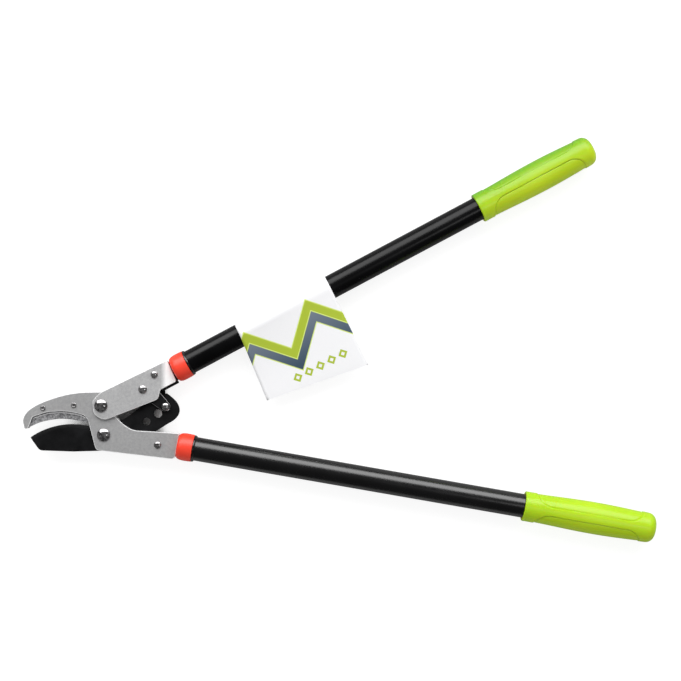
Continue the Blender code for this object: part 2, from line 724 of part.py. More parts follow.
def build():
    remove_everything()
    parts = collection("lopper")
    cutters = collection("lopper_cutters")
    silver = material("satin_steel", SILVER, 0.42, 1.0)
    chrome = material("polished_rivet", CHROME, 0.12, 1.0)
    coat = material("black_blade_coat", BLACK_COAT, 0.45)
    paint = material("black_paint", BLACK_PAINT, 0.35)
    orange = material("orange_red_plastic", ORANGE_RED, 0.4)
    lime = material("lime_vinyl", LIME, 0.35)
    grey = material("anvil_metal", INSERT_GREY, 0.5, 1.0)
    card = material("printed_card", CARD_WHITE, 0.5)

    cheeks(parts, silver)
    anvil_insert(parts, grey)
    blade(parts, cutters, coat)
    upper_plates(parts, silver)
    link_plates(parts, coat)
    rivets(parts, chrome)
    spacers_and_washers(parts, silver)
    lower_head, upper_head = tang_heads()
    tang("lower_tang", lower_head, on_lower, LOWER_COLLAR_START, LOWER_TANG_RIVET, parts, paint)
    tang("upper_tang", upper_head, on_upper, UPPER_COLLAR_START, UPPER_TANG_RIVET, parts, paint)
    handles = (("lower", on_lower, LOWER_SLOPE, LOWER_COLLAR_START, LOWER_GRIP_START, LOWER_GRIP_LENGTH),
               ("upper", on_upper, UPPER_SLOPE, UPPER_COLLAR_START, UPPER_GRIP_START, UPPER_GRIP_LENGTH))
    for name, on_handle, slope, collar_start, grip_start, grip_length in handles:
        tube(name + "_tube", on_handle, slope, collar_start, grip_start + grip_length, parts, paint)
        collar(name + "_collar", on_handle, slope, collar_start, parts, cutters, orange)
        end_ring(name + "_end_ring", on_handle, slope, collar_start, parts, paint)
        grip(name + "_grip", on_handle, slope, grip_start, grip_length, parts, lime)
    card_sleeve(parts, card)


build()
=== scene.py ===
"""The looks of the anvil lopper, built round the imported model.  Lengths are in millimetres."""
import json
from math import atan2, cos, hypot, pi, radians, sin, tan

import bmesh
import bpy
from mathutils import Matrix, Vector

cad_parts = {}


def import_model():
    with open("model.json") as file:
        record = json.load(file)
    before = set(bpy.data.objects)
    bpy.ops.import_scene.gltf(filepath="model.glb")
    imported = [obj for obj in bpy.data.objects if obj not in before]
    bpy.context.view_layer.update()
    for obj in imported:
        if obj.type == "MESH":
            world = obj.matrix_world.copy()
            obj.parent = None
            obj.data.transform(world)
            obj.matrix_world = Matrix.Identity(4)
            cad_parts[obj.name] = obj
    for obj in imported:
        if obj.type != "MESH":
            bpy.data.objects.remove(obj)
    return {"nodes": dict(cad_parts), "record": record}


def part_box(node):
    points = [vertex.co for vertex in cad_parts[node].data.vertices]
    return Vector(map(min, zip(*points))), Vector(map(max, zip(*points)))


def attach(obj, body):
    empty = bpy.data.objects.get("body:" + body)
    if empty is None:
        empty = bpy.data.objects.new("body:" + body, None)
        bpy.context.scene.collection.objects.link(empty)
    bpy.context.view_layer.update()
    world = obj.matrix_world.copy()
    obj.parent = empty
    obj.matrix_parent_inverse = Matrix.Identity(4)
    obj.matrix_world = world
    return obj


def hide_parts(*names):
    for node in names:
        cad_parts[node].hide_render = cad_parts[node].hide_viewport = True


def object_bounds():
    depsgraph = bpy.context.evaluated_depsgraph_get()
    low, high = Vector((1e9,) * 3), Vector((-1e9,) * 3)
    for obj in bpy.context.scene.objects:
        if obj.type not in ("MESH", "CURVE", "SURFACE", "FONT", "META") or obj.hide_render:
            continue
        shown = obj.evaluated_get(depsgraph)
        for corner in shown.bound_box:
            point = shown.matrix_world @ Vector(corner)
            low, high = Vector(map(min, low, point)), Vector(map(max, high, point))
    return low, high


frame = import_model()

cad_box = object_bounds()
NODES = frame["nodes"]
SLOTS = {entry["node"]: entry["material_slot"] for entry in frame["record"]["subparts"]}
MM = 0.001

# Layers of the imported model, as heights of the front faces above the blade's middle
MIDDLE_HEIGHT = (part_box("blade")[0].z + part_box("blade")[1].z) / 2 / MM
CHEEK_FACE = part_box("anvil_cheek_front")[1].z / MM - MIDDLE_HEIGHT
UPPER_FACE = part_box("upper_plate_front")[1].z / MM - MIDDLE_HEIGHT
LINK_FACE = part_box("link_plate_front")[1].z / MM - MIDDLE_HEIGHT
FIT_GAP = 0.3

# Handles: the pivot, the tube's slope and how far the tube's axis passes from the pivot
HANDLE_AXES = {
    "lower": (Vector((2.4, -32.3)), radians(-9.87), 1.75),
    "upper": (Vector((0, 0)), radians(28.03), -3.4),
}
TUBE_RADIUS = 13.1
TUBE_CLEARANCE = TUBE_RADIUS + FIT_GAP
ROUND_SIDES = 72

# Collars and the rings behind them, placed along the handles from the pivots
COLLAR_STARTS = {"lower": 81.6, "upper": 87.8}
COLLAR_LENGTH = 17.3
COLLAR_WALL = 1.9
COLLAR_CAP = 3.0
END_RING_LENGTH = 2.3
END_RING_WALL = 1.3

# Grips
GRIP_STARTS = {"lower": 468.5, "upper": 467.6}
GRIP_LENGTHS = {"lower": 146.5, "upper": 142.0}
GRIP_ROLLS = {"lower": 0.0, "upper": radians(-13.5)}
GRIP_LIP_WALL = 3.0
GRIP_LIP_END = 1.4
GRIP_CAP = 6.0
GRIP_SWELL = 2.2
GRIP_SWELL_START = 0.04
GRIP_SWELL_SPAN = 1.04
GRIP_SWELL_POWER = 1.6
GRIP_TAPER = 0.6
GRIP_DEPTH_SHARE = 0.25
GRIP_END_ROUND = 9.0
GRIP_END_CROWN = 0.25
GRIP_SIDES = 180
GRIP_STEP = 0.7
PANEL_START = 13.0
PANEL_END_GAP = 15.5
PANEL_EDGE_FROM_SPINE = 4.3
PANEL_CORNER = 17.0
PANEL_DEPTH = 0.7
GROOVE_DEPTH = 1.3
GROOVE_HALF_WIDTH = 1.0

# Jaw and rivets
# Where a painted highlight whitens the upper plates' bent ends, as X in millimetres
BEND_HIGHLIGHT_START = 65.5
BEND_HIGHLIGHT_FULL = 71.5
JAW_STEP = [(-17.5, -12.2), (-22.6, -9.6), (-30.3, -7.8), (-40.8, -6.3),
            (-50.6, -6.5), (-60.4, -7.5), (-68.1, -9.9), (-76.0, -12.6)]
BEAD_OFFSET = 1.7
BEAD_HALF_WIDTH = 0.45
BEAD_HEIGHT = 0.25
BEAD_SIDES = 10
DOME_RIM_TILT = radians(37)
DOME_RIM_HEIGHT = 0.7
DOME_STEPS = 12
RIVET_SHAFT_SHARE = 0.4
RIVET_SIDES = 48
EYELET_BORE = 1.1
EYELET_SHAFT_SHARE = 0.63
EYELET_WAIST = 0.2
EYELET_SIDES = 36

# Card sleeve, along the upper handle from its pivot and down from the tube's axis
CARD_THICKNESS = 0.5
CARD_START = 171.0
CARD_END = 283.0
CARD_BOTTOM_START = 163.0
CARD_BOTTOM_END = 280.0
CARD_DROP_START = 64.0
CARD_DROP_END = 82.0
CARD_FOOT_HALF_DEPTH = 1.1
CARD_LEAST_HALF_DEPTH = 0.6
CARD_SAG = 1.4
CARD_LEAF_STEPS = 24
CARD_COLUMNS = 36

# Print on the card: bands under a zigzag line, and a row of hollow diamonds
ZIGZAG_START = 176
ZIGZAG_SPAN = 38
ZIGZAG_STEEPNESS = 1.05
PALE_BAND = (-1.5, 27.5)
LIME_BAND = (0, 12)
SLATE_BAND = (13.5, 26)
DIAMOND_ROW = (198, 268)
DIAMOND_DROP = 71
DIAMOND_PITCH = 14.0
DIAMOND_HALF = 5.6
DIAMOND_HOLE_HALF = 2.4
PRINT_BLUR = 0.25

# Edges of the CAD nodes that stay
EDGE_ROUNDS = {
    "anvil_cheek_front": 0.5, "anvil_cheek_rear": 0.5,
    "upper_plate_front": 0.4, "upper_plate_rear": 0.4,
    "link_plate_front": 0.4, "link_plate_rear": 0.3,
    "anvil_insert": 0.25, "blade": 0.1,
    "lower_tang": 0.35, "upper_tang": 0.35,
    "handle_pivot_spacer": 0.2, "link_spacer": 0.2,
    "upper_tang_washer_front": 0.2, "upper_tang_washer_rear": 0.2,
    "lower_tube": 0.2, "upper_tube": 0.2,
}
WELD_REACH = 0.01
FLAT_ANGLE = radians(0.5)
EDGE_ANGLE = radians(32)
SHARP_ANGLE = radians(38)
ROUND_STEPS = 4

# Camera, as the photograph frames it
PICTURE_WIDTH = 749.0
CAMERA_AIM = Vector((262.7, 71.4))
CAMERA_DISTANCE = 1500.0
AIM_HEIGHT = 15.0
SENSOR = 36.0

# Studio, in metres and watts; a lamp's place counts from the middle of the picture
LAMPS = [
    {"name": "key", "place": (-0.15, 1.58, 1.28), "size": (4.0, 1.6), "power": 68},
    {"name": "side", "place": (0.70, -0.25, 1.70), "size": (0.3, 0.3), "power": 1.2},
]
WORLD_LIGHT = 0.45
MIRROR_SHARE = 0.05
FLOOR_HALF = 6.0
FLOOR_DROP = 0.0004
FLOOR_GLOW = 0.84
SHADE_REACH = 0.06
SHADE_SAMPLES = 48
SHADE_FULL = 0.17
SHADE_NONE = 0.27

# Materials
STEEL_METALLIC = 0.55
# How metallic the steel stays under the painted highlight on the upper plates' bent ends
BEND_HIGHLIGHT_METALLIC = 0.1
# Width of the painted shade across a grip
GRIP_PAINTED_SHADE_REACH = 12


# Node helpers

def grey(level):
    return (level, level, level)


WHITE = grey(1.0)


class Nodes:
    """A node tree whose nodes are added one at a time."""

    def __init__(self, tree):
        self.tree = tree

    def node(self, kind, **values):
        made = self.tree.nodes.new(kind)
        for key, value in values.items():
            setattr(made, key, value)
        return made

    def link(self, source, target):
        self.tree.links.new(source, target)

    def feed(self, socket, value):
        if isinstance(value, bpy.types.NodeSocket):
            self.link(value, socket)
        else:
            socket.default_value = value

    def math(self, operation, first, second=0.0):
        made = self.node("ShaderNodeMath", operation=operation)
        self.feed(made.inputs[0], first)
        self.feed(made.inputs[1], second)
        return made.outputs[0]

    def ramp(self, value, low, high, start=0, end=1, curve="LINEAR"):
        """Map value from the span low..high to the span start..end, clamped."""
        made = self.node("ShaderNodeMapRange", interpolation_type=curve)
        self.feed(made.inputs["Value"], value)
        made.inputs["From Min"].default_value = low
        made.inputs["From Max"].default_value = high
        made.inputs["To Min"].default_value = start
        made.inputs["To Max"].default_value = end
        return made.outputs["Result"]

    def mix(self, share, first, second, blend="MIX"):
        """Mix two colours, each a (red, green, blue) or a socket."""
        made = self.node("ShaderNodeMix", data_type="RGBA", blend_type=blend)
        self.feed(made.inputs["Factor"], share)
        for name, colour in (("A", first), ("B", second)):
            self.feed(made.inputs[name], (*colour, 1) if isinstance(colour, tuple) else colour)
        return made.outputs["Result"]


class Finish(Nodes):
    """A material whose pattern is made from the piece's own coordinates."""

    SOCKETS = {"colour": "Base Color", "roughness": "Roughness", "metallic": "Metallic",
               "normal": "Normal", "coat": "Coat Weight", "coat_roughness": "Coat Roughness",
               "soft": "Subsurface Weight", "specular": "Specular IOR Level"}

    def __init__(self, name):
        self.material = bpy.data.materials.new(name)
        self.material.use_nodes = True
        super().__init__(self.material.node_tree)
        texture = self.node("ShaderNodeTexCoord")
        self.place = texture.outputs["Object"]
        self.share = texture.outputs["Generated"]

    def split(self, vector):
        """The X, Y and Z of a vector, as sockets by name."""
        made = self.node("ShaderNodeSeparateXYZ")
        self.link(vector, made.inputs["Vector"])
        return made.outputs

    def noise(self, scale, detail, roughness):
        """Cloudy noise with scale cells to the metre."""
        made = self.node("ShaderNodeTexNoise")
        self.link(self.place, made.inputs["Vector"])
        made.inputs["Scale"].default_value = scale
        made.inputs["Detail"].default_value = detail
        made.inputs["Roughness"].default_value = roughness
        return made.outputs["Fac"]

    def vary(self, noise, start, end, low=0.3, high=0.7):
        """A value that runs from start to end with the noise."""
        return self.ramp(noise, low, high, start, end)

    def tint(self, noise, first, second, low=0.3, high=0.7):
        """A colour that runs from the first to the second with the noise."""
        return self.mix(self.ramp(noise, low, high), first, second)

    def multiply(self, first, second):
        return self.mix(1.0, first, second, "MULTIPLY")

    def bump(self, height, strength, depth):
        made = self.node("ShaderNodeBump")
        made.inputs["Strength"].default_value = strength
        made.inputs["Distance"].default_value = depth * MM
        self.link(height, made.inputs["Height"])
        return made.outputs["Normal"]

    def set(self, **values):
        shader = self.tree.nodes["Principled BSDF"]
        for key, value in values.items():
            self.feed(shader.inputs[self.SOCKETS[key]], value)
        return self.material


# Materials

def bend_highlight_mask(finish):
    """Where the painted highlight goes: 1 on the upper plates' bent ends and 0 elsewhere, with a
    soft start.
    """
    low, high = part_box("upper_plate_front")
    start = (BEND_HIGHLIGHT_START * MM - low.x) / (high.x - low.x)
    full = (BEND_HIGHLIGHT_FULL * MM - low.x) / (high.x - low.x)
    return finish.ramp(finish.split(finish.share)["X"], start, full)


def satin_steel(name, tone, bent=False):
    """Sheet steel with a fine even grain; with bent set, a painted highlight whitens the bent end.
    """
    finish = Finish(name)
    cloud = finish.noise(35, 3, 0.55)
    mottle = finish.noise(380, 2, 0.6)
    grain = finish.noise(1500, 3, 0.6)
    sheet = finish.tint(cloud, grey(0.95 * tone), grey(1.03 * tone))
    dull = finish.tint(mottle, (0.87, 0.87, 0.88), WHITE, 0.35, 0.65)
    speck = finish.tint(grain, grey(0.86), WHITE, 0.35, 0.65)
    colour = finish.multiply(finish.multiply(sheet, dull), speck)
    metallic = STEEL_METALLIC
    # Painted highlight: the bent end turns white and nearly dull
    if bent:
        end = bend_highlight_mask(finish)
        colour = finish.mix(end, colour, WHITE)
        metallic = finish.ramp(end, 0, 1, STEEL_METALLIC, BEND_HIGHLIGHT_METALLIC)
    return finish.set(colour=colour, metallic=metallic, roughness=finish.vary(grain, 0.44, 0.56),
                      normal=finish.bump(grain, 0.3, 0.1))


def painted_edge_highlight():
    """A painted highlight: the near-white line that a steel plate's rounded edge catches."""
    finish = Finish("bright_edge_look")
    grain = finish.noise(1200, 3, 0.6)
    return finish.set(colour=finish.tint(grain, (0.94, 0.94, 0.95), WHITE),
                      roughness=finish.vary(grain, 0.38, 0.48))


def bare_edge():
    """Sheared steel that the paint has left bare."""
    finish = Finish("bare_edge_look")
    grain = finish.noise(1200, 3, 0.6)
    return finish.set(colour=finish.tint(grain, (0.45, 0.45, 0.46), (0.62, 0.62, 0.63)),
                      metallic=0.9, roughness=finish.vary(grain, 0.38, 0.5))


def polished_rivet():
    """Bright steel, smeared and finely dented."""
    finish = Finish("polished_rivet_look")
    smear = finish.noise(420, 3, 0.6)
    dent = finish.noise(330, 3, 0.65)
    return finish.set(colour=finish.tint(smear, (0.42, 0.41, 0.415), (0.54, 0.53, 0.535)),
                      metallic=finish.vary(dent, 1.0, 0.78, 0.42, 0.62),
                      roughness=finish.vary(smear, 0.10, 0.20, 0.35, 0.7),
                      normal=finish.bump(dent, 0.25, 0.2))


def anvil_metal():
    """Dull cast metal with dark and pale blotches."""
    finish = Finish("anvil_metal_look")
    blotch = finish.noise(480, 2, 0.6)
    grain = finish.noise(1400, 3, 0.65)
    tone = finish.tint(blotch, (0.20, 0.20, 0.21), (0.62, 0.62, 0.63), 0.38, 0.62)
    speck = finish.tint(grain, (0.75, 0.75, 0.76), WHITE)
    return finish.set(colour=finish.multiply(tone, speck), metallic=0.5,
                      roughness=finish.vary(grain, 0.42, 0.62),
                      normal=finish.bump(blotch, 0.4, 0.2))


def black_coat():
    """The blade's nearly dull coat."""
    finish = Finish("black_blade_coat_look")
    cloud = finish.noise(60, 4, 0.6)
    grain = finish.noise(3200, 2, 0.6)
    dark, worn = (0.0035, 0.0035, 0.0040), (0.0080, 0.0080, 0.0090)
    return finish.set(colour=finish.tint(cloud, dark, worn, 0.35, 0.65),
                      roughness=finish.vary(cloud, 0.45, 0.60), specular=0.18,
                      normal=finish.bump(grain, 0.25, 0.05))


def black_paint(name, specular):
    """The handles' satin powder coat, with a faint orange peel."""
    finish = Finish(name)
    peel = finish.noise(700, 2, 0.5)
    cloud = finish.noise(25, 2, 0.5)
    dark, pale = (0.0014, 0.0014, 0.0017), (0.0028, 0.0028, 0.0033)
    return finish.set(colour=finish.tint(cloud, dark, pale),
                      roughness=finish.vary(cloud, 0.23, 0.29), specular=specular,
                      coat=0.25, coat_roughness=0.25, normal=finish.bump(peel, 0.12, 0.12))


def orange_plastic():
    """Moulded semi-gloss plastic."""
    finish = Finish("orange_red_plastic_look")
    cloud = finish.noise(60, 3, 0.5)
    grain = finish.noise(2400, 2, 0.5)
    return finish.set(colour=finish.tint(cloud, (0.95, 0.042, 0.013), (0.98, 0.054, 0.019)),
                      roughness=finish.vary(cloud, 0.36, 0.44), specular=0.75,
                      normal=finish.bump(grain, 0.15, 0.05))


def lime_vinyl(name, shaded_far_side, lit_near_side):
    """Vinyl with painted shade: its colour runs from the lit near side of the grip to the shaded
    far side.
    """
    finish = Finish(name)
    reach = GRIP_PAINTED_SHADE_REACH * MM
    side = finish.ramp(finish.split(finish.place)["Y"], -reach, reach)
    cloud = finish.noise(22, 2, 0.5)
    grain = finish.noise(1900, 2, 0.5)
    # Painted shade: the far side is darker than the near side
    tone = finish.mix(side, lit_near_side, shaded_far_side)
    shade = finish.tint(cloud, (0.90, 0.93, 0.90), WHITE)
    return finish.set(colour=finish.multiply(tone, shade),
                      roughness=finish.vary(cloud, 0.25, 0.33), soft=0.15, specular=0.45,
                      normal=finish.bump(grain, 0.15, 0.05))


def soft_step(finish, value, edge):
    """0 below the edge and 1 above it, with the blur of print."""
    return finish.ramp(value, edge - PRINT_BLUR, edge + PRINT_BLUR)


def below(finish, value, edge):
    return finish.math("SUBTRACT", 1, soft_step(finish, value, edge))


def band(finish, value, limits):
    """1 between the two limits and 0 outside them."""
    low, high = limits
    return finish.math("MULTIPLY", soft_step(finish, value, low), below(finish, value, high))


def diamond_row(finish, along, down):
    """1 on a row of hollow diamonds and 0 elsewhere."""
    start = DIAMOND_ROW[0]
    cell = finish.math("MODULO", finish.math("SUBTRACT", along, start), DIAMOND_PITCH)
    across = finish.math("ABSOLUTE", finish.math("SUBTRACT", cell, DIAMOND_PITCH / 2))
    rise = finish.math("ABSOLUTE", finish.math("SUBTRACT", down, DIAMOND_DROP))
    reach = finish.math("ADD", across, rise)
    row = finish.math("MULTIPLY", below(finish, reach, DIAMOND_HALF),
                      band(finish, along, DIAMOND_ROW))
    return finish.math("MULTIPLY", soft_step(finish, reach, DIAMOND_HOLE_HALF), row)


def printed_card():
    """White coated card with zigzag bands and a row of diamonds."""
    finish = Finish("printed_card_look")
    place = finish.split(finish.place)
    along = finish.math("DIVIDE", place["X"], MM)
    down = finish.math("DIVIDE", place["Y"], -MM)
    fold = finish.math("PINGPONG", finish.math("SUBTRACT", along, ZIGZAG_START), ZIGZAG_SPAN)
    level = finish.math("SUBTRACT", down, finish.math("MULTIPLY", fold, ZIGZAG_STEEPNESS))
    fibre = finish.noise(1500, 3, 0.6)
    paper = finish.tint(fibre, (0.93, 0.93, 0.95), (0.96, 0.96, 0.97))
    pale_ink, lime_ink = (0.72, 0.86, 0.22), (0.44, 0.56, 0.035)
    # The slate ink lightens towards the fold over the tube: print, with painted sheen near the fold
    slate_ink_and_sheen = finish.mix(finish.ramp(down, 0, 60), (0.22, 0.26, 0.32), (0.045, 0.085, 0.13))
    inked = finish.mix(band(finish, level, PALE_BAND), paper, pale_ink)
    inked = finish.mix(band(finish, level, LIME_BAND), inked, lime_ink)
    inked = finish.mix(band(finish, level, SLATE_BAND), inked, slate_ink_and_sheen)
    inked = finish.mix(diamond_row(finish, along, down), inked, lime_ink)
    return finish.set(colour=inked, roughness=finish.vary(fibre, 0.38, 0.46),
                      normal=finish.bump(fibre, 0.1, 0.04))


LOOKS = {
    "satin_steel": satin_steel("satin_steel_look", 0.62),
    "polished_rivet": polished_rivet(),
    "anvil_metal": anvil_metal(),
    "black_blade_coat": black_coat(),
    "black_paint": black_paint("black_paint_look", 1.0),
    "orange_red_plastic": orange_plastic(),
    "lime_vinyl": lime_vinyl("lime_vinyl_look", (0.45, 0.71, 0.010), (0.49, 0.72, 0.008)),
    "printed_card": printed_card(),
}
# The upper plates' steel is a lighter copy of the same satin steel, tone 0.76 against the cheeks'
# 0.62: painted light
# The upper plates' steel, with a painted highlight on the bent ends
UPPER_STEEL_WITH_PAINTED_HIGHLIGHT = satin_steel("upper_satin_steel_painted_highlight_look", 0.76, bent=True)
UPPER_PAINT = black_paint("upper_black_paint_look", 0.2)
# The upper grip's copy of the vinyl, with a much darker far side: painted shade
UPPER_SHADED_VINYL = lime_vinyl("upper_lime_vinyl_painted_shade_look", (0.16, 0.39, 0.012), (0.56, 0.76, 0.014))
PAINTED_EDGE_HIGHLIGHT = painted_edge_highlight()
BARE_EDGE = bare_edge()
OWN_LOOKS = {
    "upper_plate_front": UPPER_STEEL_WITH_PAINTED_HIGHLIGHT, "upper_plate_rear": UPPER_STEEL_WITH_PAINTED_HIGHLIGHT, "upper_tube": UPPER_PAINT,
    "upper_grip_moulded": UPPER_SHADED_VINYL, "anvil_insert_bead": PAINTED_EDGE_HIGHLIGHT,
}
# Bevel looks: the painted edge highlight on the steel plates, bare steel on the link's edge
EDGE_LOOKS = {
    "anvil_cheek_front": PAINTED_EDGE_HIGHLIGHT, "anvil_cheek_rear": PAINTED_EDGE_HIGHLIGHT,
    "upper_plate_front": PAINTED_EDGE_HIGHLIGHT, "upper_plate_rear": PAINTED_EDGE_HIGHLIGHT,
    "link_plate_front": BARE_EDGE,
}


# Makers of pieces

def add_object(name, data):
    made = bpy.data.objects.new(name, data)
    bpy.context.scene.collection.objects.link(made)
    return made


def place_piece(name, work, matrix, slot, body, *replaced):
    """Turn a bmesh into a piece that rides on a body and replaces its CAD nodes."""
    bmesh.ops.recalc_face_normals(work, faces=work.faces)
    mesh = bpy.data.meshes.new(name)
    work.to_mesh(mesh)
    work.free()
    mesh.shade_smooth()
    mesh.set_sharp_from_angle(angle=SHARP_ANGLE)
    mesh.materials.append(OWN_LOOKS.get(name, LOOKS[slot]))
    piece = add_object(name, mesh)
    piece.matrix_world = matrix
    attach(piece, body)
    if replaced:
        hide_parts(*replaced)
    return piece


def add_modifier(piece, name, kind, **values):
    made = piece.modifiers.new(name, kind)
    for key, value in values.items():
        setattr(made, key, value)


def handle_place(side, s=0.0, roll=0.0):
    """A frame on a handle's axis: local X along the tube, Y across it, Z to the front."""
    pivot, slope, offset = HANDLE_AXES[side]
    along = Vector((cos(slope), sin(slope)))
    across = Vector((-along.y, along.x))
    place = pivot + along * s + across * offset
    return (Matrix.Translation(Vector((place.x, place.y, MIDDLE_HEIGHT)) * MM)
            @ Matrix.Rotation(slope, 4, "Z") @ Matrix.Rotation(roll, 4, "X"))


def turn_angles(count):
    """Even steps round a whole turn."""
    return [2 * pi * j / count for j in range(count)]


def skin(work, rings, close_along=False):
    """Join closed rings of points, in millimetres, with faces."""
    rows = [[work.verts.new(point * MM) for point in ring] for ring in rings]
    pairs = list(zip(rows, rows[1:]))
    if close_along:
        pairs.append((rows[-1], rows[0]))
    for first, second in pairs:
        count = len(first)
        for j in range(count):
            k = (j + 1) % count
            work.faces.new((first[j], first[k], second[k], second[j]))
    return rows


def close_end(work, row, tip):
    """Fan a ring shut to a point."""
    centre = work.verts.new(tip * MM)
    for j, corner in enumerate(row):
        work.faces.new((corner, row[(j + 1) % len(row)], centre))


def round_profile(corners):
    """A profile of (a, b, radius) corners with its corners rounded, as (a, b) points."""
    found = []
    for i, (a, b, radius) in enumerate(corners):
        at = Vector((a, b))
        if not radius or i in (0, len(corners) - 1):
            found.append(tuple(at))
            continue
        before = (Vector(corners[i - 1][:2]) - at).normalized() * radius + at
        after = (Vector(corners[i + 1][:2]) - at).normalized() * radius + at
        for step in range(ROUND_STEPS + 1):
            t = step / ROUND_STEPS
            found.append(tuple(before * (1 - t) ** 2 + at * 2 * t * (1 - t) + after * t ** 2))
    return found


def turned_rings(profile, count, axis="Z"):
    """Rings of points about an axis for a profile of (radius, height)."""
    rings = []
    for radius, height in profile:
        ring = []
        for angle in turn_angles(count):
            across, up = radius * cos(angle), radius * sin(angle)
            ring.append(Vector((across, up, height) if axis == "Z" else (height, across, up)))
        rings.append(ring)
    return rings


# Grips

def grip_radius(share):
    """The grip's half width at a share of its length from its mouth."""
    rise = min(1, max(0, (share - GRIP_SWELL_START) / GRIP_SWELL_SPAN))
    swell = GRIP_SWELL * sin(pi * rise) ** GRIP_SWELL_POWER
    return TUBE_CLEARANCE + GRIP_LIP_WALL + swell - GRIP_TAPER * share


def smooth_share(value):
    share = min(1, max(0, value))
    return share * share * (3 - 2 * share)


def panel_recess(s, length, angle, radius):
    """How far a side panel sinks the grip's skin; angle is 0 at the side and 90 at the spine."""
    side_angle = abs(atan2(sin(angle), abs(cos(angle))))
    panel_end = length - PANEL_END_GAP
    half_length = (panel_end - PANEL_START) / 2
    half_height = radius * (pi / 2) - PANEL_EDGE_FROM_SPINE
    x = abs(s - (PANEL_START + panel_end) / 2) - half_length + PANEL_CORNER
    y = side_angle * radius - half_height + PANEL_CORNER
    inside = PANEL_CORNER - hypot(max(x, 0), max(y, 0)) - min(max(x, y), 0)
    if inside < GROOVE_HALF_WIDTH:
        return GROOVE_DEPTH * smooth_share(inside / GROOVE_HALF_WIDTH)
    back = smooth_share((inside - GROOVE_HALF_WIDTH) / GROOVE_HALF_WIDTH)
    return GROOVE_DEPTH + (PANEL_DEPTH - GROOVE_DEPTH) * back


def grip_ring(s, bend, length):
    """The grip's skin at a station; bend is the turn round its end, and 0 along its sides."""
    lip = grip_radius(0)
    radius = grip_radius(s / length)
    deep = min(radius, lip + GRIP_DEPTH_SHARE * (radius - lip))
    inset = GRIP_END_ROUND * (1 - cos(bend))
    ring = []
    for angle in turn_angles(GRIP_SIDES):
        recess = 0 if bend else panel_recess(s, length, angle, radius)
        scale = radius - recess - inset
        ring.append(Vector((s + GRIP_END_ROUND * sin(bend), scale * cos(angle),
                            (scale + deep - radius) * sin(angle))))
    return ring


def grip(side):
    """A vinyl sleeve with a rolled lip, sunk side panels and a rounded end."""
    length = GRIP_LENGTHS[side]
    bore = TUBE_CLEARANCE
    lip = grip_radius(0)
    mouth = [(bore, GRIP_CAP), (bore, 0.6), (bore + 0.5, 0.1),
             (lip - 0.9, 0.0), (lip - 0.3, 0.35), (lip, 0.9)]
    straight = length - GRIP_END_ROUND
    stations = [(GRIP_LIP_END + GRIP_STEP * i, 0.0)
                for i in range(int((straight - GRIP_LIP_END) / GRIP_STEP))]
    stations += [(straight, radians(6 * i)) for i in range(15)]
    rings = turned_rings(mouth, GRIP_SIDES, "X")
    rings += [grip_ring(s, bend, length) for s, bend in stations]
    work = bmesh.new()
    rows = skin(work, rings)
    close_end(work, rows[-1], Vector((length + GRIP_END_CROWN, 0, 0)))
    close_end(work, rows[0][::-1], Vector((GRIP_CAP, 0, 0)))
    place = handle_place(side, GRIP_STARTS[side], GRIP_ROLLS[side])
    place_piece(f"{side}_grip_moulded", work, place, "lime_vinyl", f"{side}_handle", f"{side}_grip")


# Collars and their rings

def collar(side):
    """A barrel-shaped ferrule, drawn in at its plate end."""
    outer = TUBE_CLEARANCE + COLLAR_WALL
    length = COLLAR_LENGTH
    profile = round_profile([
        (0.5, 0.0, 0), (outer - 4.0, 0.0, 0.8), (outer - 2.0, 0.9, 1.0), (outer - 0.7, 3.4, 1.5),
        (outer - 0.1, 7.0, 2.5), (outer - 0.2, 0.8 * length, 2.5), (outer - 0.4, length - 0.3, 0.3),
        (outer - 1.0, length, 0.3), (TUBE_CLEARANCE, length, 0.2), (TUBE_CLEARANCE, COLLAR_CAP, 0),
    ])
    work = bmesh.new()
    rows = skin(work, turned_rings(profile, ROUND_SIDES, "X"))
    close_end(work, rows[0][::-1], Vector((0, 0, 0)))
    close_end(work, rows[-1], Vector((COLLAR_CAP, 0, 0)))
    place_piece(f"{side}_collar_moulded", work, handle_place(side, COLLAR_STARTS[side]),
                "orange_red_plastic", f"{side}_handle", f"{side}_collar")


def end_ring(side):
    """The black ring that closes the collar's open end."""
    outer = TUBE_CLEARANCE + END_RING_WALL
    length = END_RING_LENGTH
    profile = round_profile([
        (TUBE_CLEARANCE, 0.05, 0), (outer, 0.0, 0.3), (outer, 0.45 * length, 0.6),
        (outer - 0.8, length, 0.4), (TUBE_CLEARANCE, length, 0),
    ])
    start = COLLAR_STARTS[side] + (COLLAR_LENGTH + FIT_GAP)
    work = bmesh.new()
    skin(work, turned_rings(profile, ROUND_SIDES, "X"), close_along=True)
    place_piece(f"{side}_end_ring_rounded", work, handle_place(side, start),
                "black_paint", f"{side}_handle", f"{side}_end_ring")


# Rivets

def head_radius(node):
    low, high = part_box(node)
    return (high.x - low.x) / 2 / MM


def rivet_place(node):
    """A frame on a rivet's axis, at the blade's middle."""
    low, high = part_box(node)
    middle = (low + high) / 2 / MM
    return Matrix.Translation(Vector((middle.x, middle.y, MIDDLE_HEIGHT)) * MM)


